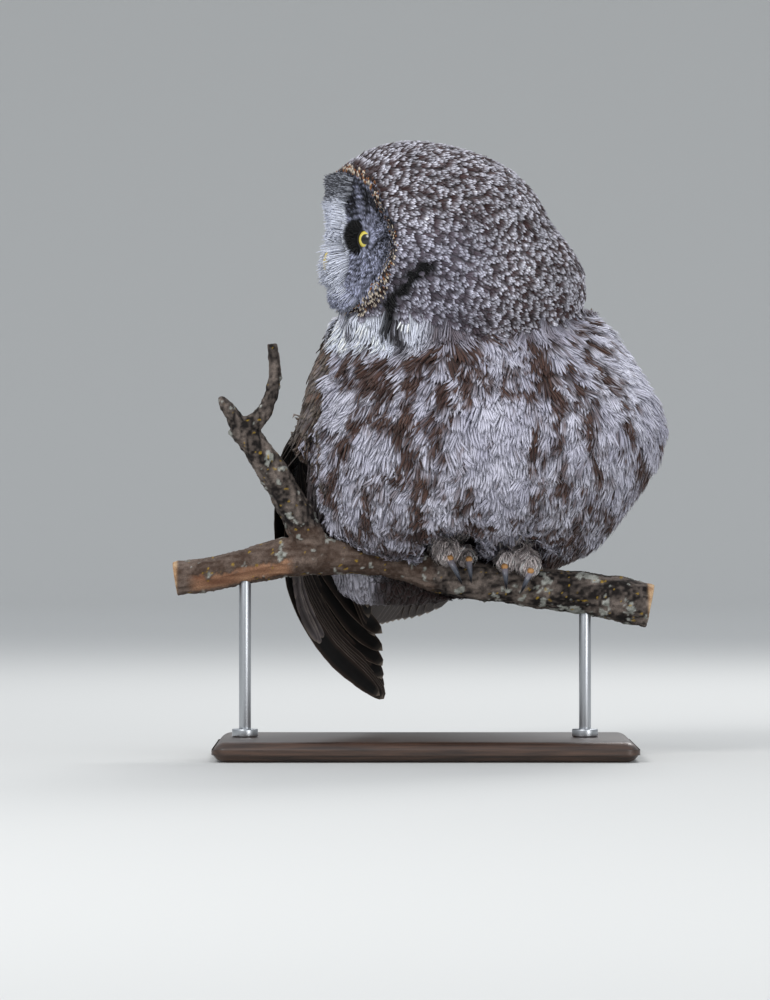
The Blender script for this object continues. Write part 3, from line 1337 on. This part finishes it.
def make_perch():
    """A weathered branch: furrowed bark with lichen on it, and a strip where the bark has peeled"""
    obj = copied(["perch"], "branch")
    obj.data.remesh_voxel_size = bpy.context.scene.owl.bark_voxel
    bpy.ops.object.voxel_remesh()
    modify(obj, "SMOOTH", factor=0.5, iterations=8)
    points, up = vertices(obj.data), normals(obj.data)
    places = points / MM
    x, y, z = places.T
    below = z - np.interp(x, BRANCH_LINE[:, 0], BRANCH_LINE[:, 1])
    spur = ramp(below, 24, 34)
    ends = np.maximum(ramp(x, -246, -249.5), ramp(x, 221, 224.5)) * (1 - spur)
    stretch = np.where(spur[:, None] > 0.5, [1, 1, 0.25], [0.25, 1, 1])
    furrow = np.abs(noise(places * stretch, 6, 51))
    plates = noise(places, 14, 52)
    fine = noise(places, 2.6, 53)
    crust_field = 0.7 * noise(places, 12, 54) + 0.5 * noise(places, 4.5, 55)
    crust_field = crust_field + 0.3 * noise(places, 2.2, 61)
    far = ramp(x, 0, 60)
    crust = ramp(crust_field, 0.5 - 0.2 * far, 0.62 - 0.2 * far)
    angle = np.arctan2(-y, -below)
    wander = 0.2 * noise(places, 30, 56) + 0.25 * noise(places, 7, 63) + 0.12 * fine
    peeled = ramp(np.abs(angle - 1.0 + wander), 0.55, 0.4)
    peeled = peeled * ramp(x, -240, -225) * ramp(x, -128, -142) * (1 - spur)
    relief = 1.6 * (0.4 - furrow) + 1.0 * plates + 0.55 * fine + 0.8 * crust
    relief = relief * (1 - 0.85 * peeled) - 1.6 * peeled
    move_vertices(obj.data, points + up * (relief * (1 - ends) * MM)[:, None])
    tone = np.clip(0.3 + 0.4 * plates + 0.45 * fine + 0.9 * (furrow - 0.25), 0, 1)
    base = mixed(linear("1d1918"), linear("776c65"), tone)
    limb = ramp(x, 14 + 5 * noise(places, 5, 57), 4) * (1 - spur)
    base = mixed(base, linear("6b5548"), 0.4 * limb)
    lichen = mixed(linear("74766f"), linear("b4b5af"), np.clip(0.5 + 0.6 * fine, 0, 1))
    colour = mixed(base, lichen, crust * 0.85)
    wood_grain = np.clip(0.5 + 0.7 * noise(places * stretch, 4, 58), 0, 1)
    wood = mixed(linear("7a5440"), linear("ae8568"), wood_grain)
    colour = mixed(colour, wood, peeled * 0.9)
    yellow = ramp(noise(places, 4, 59) + 0.3 * noise(places, 1.8, 62), 0.78, 0.86)
    colour = mixed(colour, linear("a5862b"), yellow * 0.7)
    rings = np.sin(np.hypot(y, below) * 2.2 + noise(places, 8, 60))
    sawn = mixed(linear("a58262"), linear("c9ab88"), 0.5 + 0.5 * rings)
    colour = mixed(colour, sawn, ends)
    set_colours(obj.data, np.clip(colour, 0, 1))
    shade_smooth(obj.data)
    return finished(obj, bark_material(), "bark", "perch")


def bark_material():
    """Dry bark: matt, with grains and cracks finer than the mesh holds"""
    found, tree, shader = surface_material("dry_bark", roughness=0.92, specular_ior_level=0.2)
    grain = put(tree, "ShaderNodeTexNoise", {
        "Vector": object_places(tree), "Scale": 700.0, "Detail": 6.0, "Roughness": 0.7,
    })
    grain_tone(tree, shader, grain.outputs["Fac"], 0.6, 1.35)
    bump = put(tree, "ShaderNodeBump", {
        "Height": grain.outputs["Fac"], "Strength": 0.8, "Distance": 1.2 * MM,
    })
    tree.links.new(bump.outputs["Normal"], shader.inputs["Normal"])
    return found


# Stand

def box_of(node):
    """The middle and the size of a CAD node's box"""
    low, high = (np.array(c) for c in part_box(node))
    return (low + high) / 2, high - low


def make_base():
    """A stained board with rounded corners and softened edges"""
    middle, size = box_of("stand_base")
    bpy.ops.mesh.primitive_cube_add(size=1)
    board = bpy.context.object
    board.name = "base_board"
    move_vertices(board.data, vertices(board.data) * size + middle)
    bpy.ops.object.mode_set(mode="EDIT")
    bpy.ops.mesh.select_all(action="DESELECT")
    bpy.ops.object.mode_set(mode="OBJECT")
    for edge in board.data.edges:
        a, b = (board.data.vertices[i].co for i in edge.vertices)
        edge.select = abs(a.z - b.z) > 5 * MM
    bpy.ops.object.mode_set(mode="EDIT")
    bpy.ops.mesh.select_mode(type="EDGE")
    bpy.ops.mesh.bevel(offset=14 * MM, segments=10, affect="EDGES")
    bpy.ops.mesh.select_all(action="SELECT")
    bpy.ops.object.mode_set(mode="OBJECT")
    modify(board, "BEVEL", width=3 * MM, segments=4, limit_method="ANGLE", angle_limit=math.radians(60))
    only(board)
    bpy.ops.object.shade_smooth_by_angle(angle=math.radians(35))
    return finished(board, stained_hardwood(), "stand_wood", "stand_base")


def stained_hardwood():
    """Stained hardwood: dark grain drawn out along the board under a thin satin varnish"""
    found, tree, shader = surface_material(
        "stained_hardwood", roughness=0.42, coat_weight=0.25, coat_roughness=0.3,
    )
    long = put(tree, "ShaderNodeMapping", {"Vector": object_places(tree), "Scale": (6.0, 90.0, 90.0)})
    grain = put(tree, "ShaderNodeTexNoise", {"Vector": long.outputs["Vector"], "Scale": 3.0, "Detail": 8.0})
    colours = put(tree, "ShaderNodeValToRGB", {"Fac": grain.outputs["Fac"]})
    colours.color_ramp.elements[0].position = 0.35
    colours.color_ramp.elements[0].color = (*linear("2b1d16"), 1)
    colours.color_ramp.elements[1].position = 0.68
    colours.color_ramp.elements[1].color = (*linear("4f382b"), 1)
    tree.links.new(colours.outputs["Color"], shader.inputs["Base Color"])
    return found


def make_turned(node, material):
    """A rod or a collar, as round as the eye can tell"""
    middle, size = box_of(node)
    bpy.ops.mesh.primitive_cylinder_add(vertices=64, radius=size[0] / 2, depth=size[2])
    turned = bpy.context.object
    turned.name = node.replace("stand", "steel")
    move_vertices(turned.data, vertices(turned.data) + middle)
    modify(turned, "BEVEL", width=1.2 * MM, segments=3, limit_method="ANGLE", angle_limit=math.radians(60))
    only(turned)
    bpy.ops.object.shade_smooth_by_angle(angle=math.radians(35))
    return finished(turned, material, "stand_steel", node)


def brushed_steel():
    """Brushed steel: fine rings round the rods, which soften their highlights"""
    colour = bpy.context.scene.owl.steel
    found, tree, shader = surface_material("brushed_steel", colour, metallic=1.0, roughness=0.34)
    rings = put(tree, "ShaderNodeMapping", {"Vector": object_places(tree), "Scale": (40.0, 40.0, 2500.0)})
    lines = put(tree, "ShaderNodeTexNoise", {
        "Vector": rings.outputs["Vector"], "Scale": 1.0, "Detail": 2.0,
    })
    bump = put(tree, "ShaderNodeBump", {
        "Height": lines.outputs["Fac"], "Strength": 0.15, "Distance": 0.1 * MM,
    })
    tree.links.new(bump.outputs["Normal"], shader.inputs["Normal"])
    return found


# Operators

class OwlSettings(bpy.types.PropertyGroup):
    """Sizes and colours that a user may change"""
    iris: FloatVectorProperty(
        name="Iris", description="Colour of the iris", subtype="COLOR", default=tuple(linear("ecd95c")),
    )
    toe_skin: FloatVectorProperty(
        name="Toe skin", description="Colour of the bare skin at the claws", subtype="COLOR",
        default=tuple(linear("bb8a55")),
    )
    steel: FloatVectorProperty(
        name="Steel", description="Colour of the rods and collars", subtype="COLOR",
        default=tuple(linear("b9bcc0")),
    )
    skin_voxel: FloatProperty(
        name="Skin voxel", description="Fineness of the skin under the feathers", unit="LENGTH",
        default=3.5 * MM,
    )
    bark_voxel: FloatProperty(
        name="Bark voxel", description="Fineness of the branch", unit="LENGTH", default=1.4 * MM,
    )
    light: FloatProperty(
        name="Light", description="Strength of the lights", subtype="FACTOR", default=1.0,
    )


def feather_look():
    """Material of the soft body feathers, made once"""
    name = "contour_feather"
    return bpy.data.materials.get(name) or feather_material(name, 0.85, 1.5, 0.12)


def quill_look():
    """Material of the flight feathers, smoother and ridged by their barbs, made once"""
    name = "flight_feather"
    return bpy.data.materials.get(name) or feather_material(name, 0.6, 6.0, 0.1, 0.02, barb_mm=1.4)


def skin_surface():
    return Surface(bpy.data.objects["skin"])


def cover(surface, kind, chosen, flow, paint, slot, trim=untrimmed, parts=None):
    """Grows one kind of coat on the chosen triangles, as one piece or as a piece for each part"""
    for number, (part, inside) in enumerate((parts or {"": True}).items()):
        coat = COATS[kind]._replace(seed=COATS[kind].seed + number)
        name = "_".join(filter(None, ("coat", kind, part)))
        finished(grow(surface, name, chosen & inside, coat, flow, paint, trim), feather_look(), slot)


class OWL_OT_skin(bpy.types.Operator):
    """Makes the skin that lies under the feathers"""
    bl_idname = "owl.skin"
    bl_label = "Skin"

    def execute(self, context):
        make_skin()
        return {"FINISHED"}


class OWL_OT_hood(bpy.types.Operator):
    """Grows the spotted hood"""
    bl_idname = "owl.hood"
    bl_label = "Hood"

    def execute(self, context):
        surface = skin_surface()
        ahead, left, _ = head_places(surface.middle)
        hood = (surface.tract <= TRACTS["disc"]) & ((rim_share(surface.middle) > 1.05) | (ahead < 30))
        parts = {"left": left >= 0, "right": left < 0}
        cover(surface, "hood", hood, hood_flow, paint_hood, "plumage", parts=parts)
        return {"FINISHED"}


class OWL_OT_face(bpy.types.Operator):
    """Grows the facial discs, the specked rim round them and the bristles beside the bill"""
    bl_idname = "owl.face"
    bl_label = "Face"

    def execute(self, context):
        surface = skin_surface()
        rim = rim_share(surface.middle)
        ahead, left, above = head_places(surface.middle)
        face = (surface.tract <= TRACTS["disc"]) & (ahead > 40)
        disc = face & (rim < 1.0)
        for side in SIDES.values():
            disc &= np.linalg.norm(surface.middle - eye_centre(side), axis=1) / MM > EYE_RADIUS + 1.0
        cover(surface, "discs", disc, disc_flow, paint_disc, "face_plumage")
        edge = face & (rim > 0.965) & (rim < 1.12 - 0.06 * ramp(above, -10, 25))
        cover(surface, "disc_rim", edge, disc_flow, paint_rim, "face_plumage")
        wider = 16 * ramp(above, 28, 48) + 4 * bell(above + 24, 14)
        wider = wider + 16 * ramp(above, -44, -62) - 3 * bell(above - 2, 14)
        lores = face & (rim < 0.97) & (np.abs(left) < 12 + wider) & (above > -76)
        lores = lores & (eye_patch(surface.middle) > 1.15)
        cover(surface, "lores", lores, lore_flow, paint_lore, "face_plumage", lore_length)
        return {"FINISHED"}


class OWL_OT_underparts(bpy.types.Operator):
    """Grows the loose feathers of the neck, the breast, the belly and the flanks"""
    bl_idname = "owl.underparts"
    bl_label = "Underparts"

    def execute(self, context):
        surface = skin_surface()
        left = body_places(surface.middle)[1]
        cover(surface, "neck", surface.tract == TRACTS["neck"], body_flow, paint_neck, "plumage")
        breast = surface.tract == TRACTS["breast"]
        parts = {"right": left < -60, "middle": (left >= -60) & (left < 60), "left": left >= 60}
        cover(surface, "breast", breast, body_flow, paint_underparts, "breast_plumage", belly_length, parts)
        return {"FINISHED"}


class OWL_OT_back(bpy.types.Operator):
    """Grows the feathers of the back, the rump and the wing coverts"""
    bl_idname = "owl.back"
    bl_label = "Back and coverts"

    def execute(self, context):
        surface = skin_surface()
        left = body_places(surface.middle)[1]
        parts = {"left": left >= 0, "right": left < 0}
        back = surface.tract == TRACTS["back"]
        cover(surface, "back", back, body_flow, paint_back, "plumage", parts=parts)
        rump = surface.tract == TRACTS["rump"]
        cover(surface, "rump", rump, rump_flow, paint_vent, "plumage", vent_length)
        wing = surface.tract == TRACTS["wing"]
        cover(surface, "wings", wing, wing_flow, paint_wing, "flight_feathers")
        return {"FINISHED"}


class OWL_OT_quills(bpy.types.Operator):
    """Lays the flight feathers of the wings and the tail"""
    bl_idname = "owl.quills"
    bl_label = "Flight feathers"

    def execute(self, context):
        for name, side in SIDES.items():
            primaries, secondaries, coverts = make_wing_quills(name, side)
            finished(primaries, quill_look(), "flight_feathers", f"wing_{name}_primaries")
            finished(secondaries, quill_look(), "flight_feathers", f"wing_{name}_secondaries")
            finished(coverts, quill_look(), "flight_feathers")
            finished(make_lining(name, side), quill_look(), "flight_feathers")
        finished(make_tail(), quill_look(), "flight_feathers", "tail")
        return {"FINISHED"}


class OWL_OT_legs(bpy.types.Operator):
    """Grows the hair-like feathers of the legs and the toes"""
    bl_idname = "owl.legs"
    bl_label = "Legs and toes"

    def execute(self, context):
        surface = skin_surface()
        cover(surface, "legs", surface.tract == TRACTS["leg"], leg_flow, paint_foot, "foot_plumage")
        cover(surface, "toes", surface.tract == TRACTS["toe"], leg_flow, paint_foot, "foot_plumage")
        return {"FINISHED"}


class OWL_OT_horn(bpy.types.Operator):
    """Makes the eyes with their lids, the bill, the claws and their pads"""
    bl_idname = "owl.horn"
    bl_label = "Eyes, bill and claws"

    def execute(self, context):
        only(*context.scene.objects[:1])
        # A wet eyeball takes sharp highlights on a clear coat, and the lids are bare black skin
        wet = coloured_material("wet_eye", roughness=0.25, coat_weight=0.5, coat_roughness=0.03)
        skin = surface_material("lid_skin", linear("0a0909"), roughness=0.5)[0]
        for name, side in SIDES.items():
            finished(make_eye(name, side), wet, "eye", f"eye_{name}")
            finished(make_lid(name, side), skin, "eye")
        make_bill()
        make_claws()
        make_toe_pads()
        return {"FINISHED"}


class OWL_OT_perch(bpy.types.Operator):
    """Makes the branch"""
    bl_idname = "owl.perch"
    bl_label = "Perch"

    def execute(self, context):
        make_perch()
        return {"FINISHED"}


class OWL_OT_stand(bpy.types.Operator):
    """Makes the base with its two rods and their collars"""
    bl_idname = "owl.stand"
    bl_label = "Stand"

    def execute(self, context):
        make_base()
        steel = brushed_steel()
        for side in SIDES:
            make_turned(f"stand_rod_{side}", steel)
            make_turned(f"stand_collar_{side}", steel)
        return {"FINISHED"}


class OWL_OT_stage(bpy.types.Operator):
    """Adds the floor, the lights and the camera"""
    bl_idname = "owl.stage"
    bl_label = "Stage"

    def execute(self, context):
        make_stage()
        make_camera()
        return {"FINISHED"}


# The stage

FLOOR_RADIUS = 8.0
WALL_BEND = 3.0
CAMERA = {"place": (-0.040, -5.556, 0.257), "lens": 200, "sensor": 36}
LIGHT_TARGET = (0.03, 0, 0.35)
# Lights: place, size in metres and power in watts
LIGHTS = {
    "key": ((-1.6, -2.6, 2.4), 1.6, 70),
    "fill": ((1.9, -2.9, 0.45), 1.6, 28),
    "rim": ((0.8, 2.4, 2.6), 1.4, 50),
}


def make_camera():
    data = bpy.data.cameras.new("camera")
    data.lens = CAMERA["lens"]
    data.sensor_width = CAMERA["sensor"]
    data.clip_end = 50
    camera = bpy.data.objects.new("camera", data)
    camera.location = CAMERA["place"]
    camera.rotation_euler = (math.radians(90), 0, 0)
    bpy.context.collection.objects.link(camera)
    bpy.context.scene.camera = camera


def soft_light(name, place, size, power):
    """A round area light that faces the bird"""
    data = bpy.data.lights.new(name, "AREA")
    data.shape = "DISK"
    data.size = size
    data.energy = power
    light = bpy.data.objects.new(name, data)
    light.location = place
    light.rotation_euler = (Vector(LIGHT_TARGET) - Vector(place)).to_track_quat("-Z", "Y").to_euler()
    bpy.context.collection.objects.link(light)


def make_floor():
    """A round floor whose rim curves up into a backdrop on every side"""
    only(*bpy.context.scene.objects[:1])
    bpy.ops.mesh.primitive_circle_add(vertices=128, radius=FLOOR_RADIUS, fill_type="NGON")
    floor = bpy.context.object
    floor.name = "floor"
    bpy.ops.object.mode_set(mode="EDIT")
    bpy.ops.mesh.select_mode(type="EDGE")
    bpy.ops.mesh.select_all(action="SELECT")
    angles = np.radians(np.linspace(0, 90, 19))
    for low, high in zip(angles, angles[1:]):
        rise = WALL_BEND * (math.cos(low) - math.cos(high))
        wider = (FLOOR_RADIUS + WALL_BEND * math.sin(high)) / (FLOOR_RADIUS + WALL_BEND * math.sin(low))
        bpy.ops.mesh.extrude_edges_move(TRANSFORM_OT_translate={"value": (0, 0, rise)})
        bpy.ops.transform.resize(value=(wider, wider, 1), center_override=(0, 0, 0))
    bpy.ops.object.mode_set(mode="OBJECT")
    shade_smooth(floor.data)
    return floor


def make_stage():
    """A floor of matt grey paper, a pale sky and three soft lights"""
    floor = make_floor()
    floor.data.materials.append(surface_material("studio_paper", linear("cbcbc9"), roughness=0.9)[0])
    world = bpy.data.worlds.new("studio")
    world.use_nodes = True
    sky = world.node_tree.nodes["Background"]
    sky.inputs["Color"].default_value = (*linear("dfe4ea"), 1)
    sky.inputs["Strength"].default_value = 0.9
    bpy.context.scene.world = world
    bpy.context.scene.view_settings.view_transform = "Standard"
    for name, (place, size, power) in LIGHTS.items():
        soft_light(name, place, size, power * bpy.context.scene.owl.light)


class OWL_PT_panel(bpy.types.Panel):
    """The owl's settings and the steps that build it"""
    bl_idname = "OWL_PT_panel"
    bl_label = "Great Grey Owl"
    bl_space_type = "VIEW_3D"
    bl_region_type = "UI"
    bl_category = "Owl"

    def draw(self, context):
        for setting in OwlSettings.__annotations__:
            self.layout.prop(context.scene.owl, setting)
        for operator in OPERATORS:
            self.layout.operator(operator.bl_idname)


OPERATORS = [
    OWL_OT_skin, OWL_OT_hood, OWL_OT_face, OWL_OT_underparts, OWL_OT_back, OWL_OT_quills, OWL_OT_legs,
    OWL_OT_horn, OWL_OT_perch, OWL_OT_stand, OWL_OT_stage,
]


def register():
    for found in (OwlSettings, *OPERATORS, OWL_PT_panel):
        bpy.utils.register_class(found)
    bpy.types.Scene.owl = PointerProperty(type=OwlSettings)


def unregister():
    del bpy.types.Scene.owl
    for found in reversed((OwlSettings, *OPERATORS, OWL_PT_panel)):
        bpy.utils.unregister_class(found)


def main():
    register()
    bpy.ops.owl.skin()
    bpy.ops.owl.hood()
    bpy.ops.owl.face()
    bpy.ops.owl.underparts()
    bpy.ops.owl.back()
    bpy.ops.owl.quills()
    bpy.ops.owl.legs()
    bpy.ops.owl.horn()
    bpy.ops.owl.perch()
    bpy.ops.owl.stand()
    bpy.ops.owl.stage()


if __name__ == "__main__":
    main()
